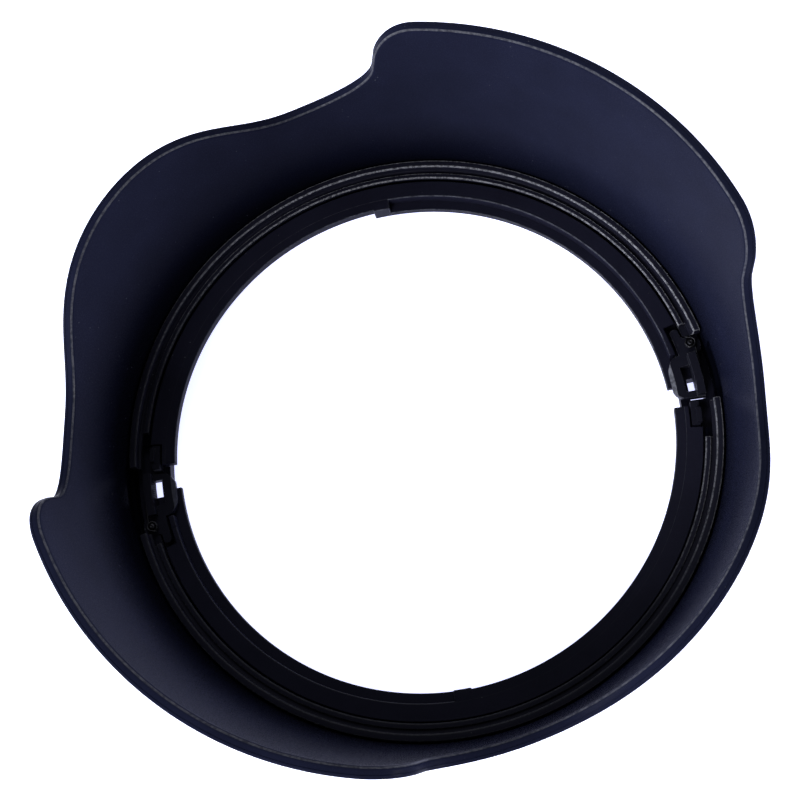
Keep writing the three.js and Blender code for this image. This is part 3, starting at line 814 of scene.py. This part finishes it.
# ---- fasteners and marks ----
SCREW_PROFILE = [
    (0, 0.42), (0.72, 0.42), (0.79, 0.46), (0.8, 0.50), (0.52, 0.9), (0.5, 0.95), (0.5, 3.8),
    (0.4, 3.9), (0, 3.9)]
CROSS = ((0.5, 0.11), (0.11, 0.5))    # half length and half width of each slot
CROSS_DEPTH = 0.66


def build_screw(number, azimuth):
    screw = lathe(SCREW_PROFILE, azimuth, SCREW_CIRCLE, "screw", 40)
    slots = [block(azimuth, (SCREW_CIRCLE - a, SCREW_CIRCLE + a), (-b, b), (0.3, CROSS_DEPTH))
             for a, b in CROSS]
    combine(screw, slots, "DIFFERENCE")
    return finish_piece(screw, "cross_screw_" + str(number), "hood", ["ring_screw_" + str(number)],
                        STEEL)


def build_mark(name, azimuth):
    disc = mark_disc(azimuth, INDEX_RADIUS, COLLAR_RADIUS - 0.4, COLLAR_RADIUS + 0.02, 0.08)
    return finish_piece(disc, name.replace("_mark", "_dot"), "hood", [name], MARK)


build_shell()
build_ring()
for letter, azimuth in STATIONS.items():
    build_baffle(letter, azimuth)
    build_lever(letter, azimuth)
    build_pin(letter, azimuth)
    build_spring(letter, azimuth)
    build_button(letter, azimuth)
    build_stop_plate(letter, azimuth)
for number, azimuth in enumerate(SCREW_AZIMUTHS, 1):
    build_screw(number, azimuth)
for name, azimuth in INDEX_MARKS.items():
    build_mark(name, azimuth)


# ---- floor, light and camera ----
FLOOR_HALF = 1500.0
FLOOR_HEIGHT = -0.02
FLOOR_GLOW = 1.0
SIDE_LIGHT = 0.9
OVERHEAD_LIGHT = 0.22
floor_solid = Solid()
floor_solid.verts = [(FLOOR_HALF * x, FLOOR_HALF * y, FLOOR_HEIGHT)
                     for x, y in ((-1, -1), (1, -1), (1, 1), (-1, 1))]
floor_solid.faces = [(0, 1, 2, 3)]
floor_solid.slots = [BASE]
floor = make(floor_solid, "floor")
floor_paint = bpy.data.materials.new("floor_paint")
floor_paint.use_nodes = True
floor_shader = floor_paint.node_tree.nodes["Principled BSDF"]
floor_shader.inputs["Base Color"].default_value = (0.92, 0.92, 0.92, 1)
floor_shader.inputs["Roughness"].default_value = 0.9
floor_shader.inputs["Specular IOR Level"].default_value = 0.1
floor_shader.inputs["Emission Color"].default_value = (0.88, 0.92, 1.38, 1)
floor_shader.inputs["Emission Strength"].default_value = FLOOR_GLOW
floor.data.materials.clear()
floor.data.materials.append(floor_paint)

# A light tent: bright round the sides, dim overhead.
world = bpy.data.worlds.new("studio")
world.use_nodes = True
tent, tent_links = world.node_tree.nodes, world.node_tree.links
direction = tent.new("ShaderNodeTexCoord")
split = tent.new("ShaderNodeSeparateXYZ")
tent_links.new(direction.outputs["Generated"], split.inputs["Vector"])
ramp = tent.new("ShaderNodeValToRGB")
for element, (place, value) in zip(ramp.color_ramp.elements, ((0.05, SIDE_LIGHT), (0.55, OVERHEAD_LIGHT))):
    element.position = place
    element.color = (value * 0.94, value * 0.97, value, 1)
tent_links.new(split.outputs["Z"], ramp.inputs["Fac"])
tent_links.new(ramp.outputs["Color"], tent["Background"].inputs["Color"])
bpy.context.scene.world = world


def softbox(name, azimuth, elevation, distance, size, power, colour=(1, 1, 1)):
    """A square light that faces the hood's middle."""
    data = bpy.data.lights.new(name, "AREA")
    data.shape = "SQUARE"
    data.size = size
    data.energy = power
    data.color = colour
    obj = bpy.data.objects.new(name, data)
    bpy.context.scene.collection.objects.link(obj)
    a, e = math.radians(azimuth), math.radians(elevation)
    direction = Vector((math.cos(e) * math.cos(a), math.cos(e) * math.sin(a), math.sin(e)))
    obj.location = Vector((0, 0, 0.02)) + direction * distance
    obj.rotation_euler = direction.to_track_quat("Z", "Y").to_euler()
    return obj


softbox("key_softbox", 235, 16, 0.8, 0.4, 12.5, (0.95, 0.97, 1.0))
softbox("ledge_softbox", 280, 38, 0.8, 0.3, 5.0)
softbox("left_softbox", 25, 6, 0.8, 0.25, 7.0)
softbox("far_softbox", 125, 50, 0.8, 0.4, 1.6)

# The camera looks down into the hood from the front, turned about its own axis.
CAMERA_PLACE = Vector((44.30, -26.62, 187.42)) * MM
CAMERA_AIM = Vector((-1.64, 0.64, 19.0)) * MM
CAMERA_ROLL = -25.67
SENSOR = 36.0
FOCAL_LENGTH = 57.905
camera_data = bpy.data.cameras.new("camera")
camera_data.sensor_fit = "HORIZONTAL"
camera_data.sensor_width = SENSOR
camera_data.lens = FOCAL_LENGTH
camera_data.clip_start = 0.01
camera = bpy.data.objects.new("camera", camera_data)
bpy.context.scene.collection.objects.link(camera)
back = (CAMERA_PLACE - CAMERA_AIM).normalized()
level = Vector((0, 0, 1)).cross(back).normalized()
upright = back.cross(level)
roll = math.radians(CAMERA_ROLL)
right = level * math.cos(roll) + upright * math.sin(roll)
camera.matrix_world = Matrix.Translation(CAMERA_PLACE) @ Matrix(
    (right, back.cross(right), back)).transposed().to_4x4()
bpy.context.scene.camera = camera
bpy.context.scene.view_settings.view_transform = "Standard"
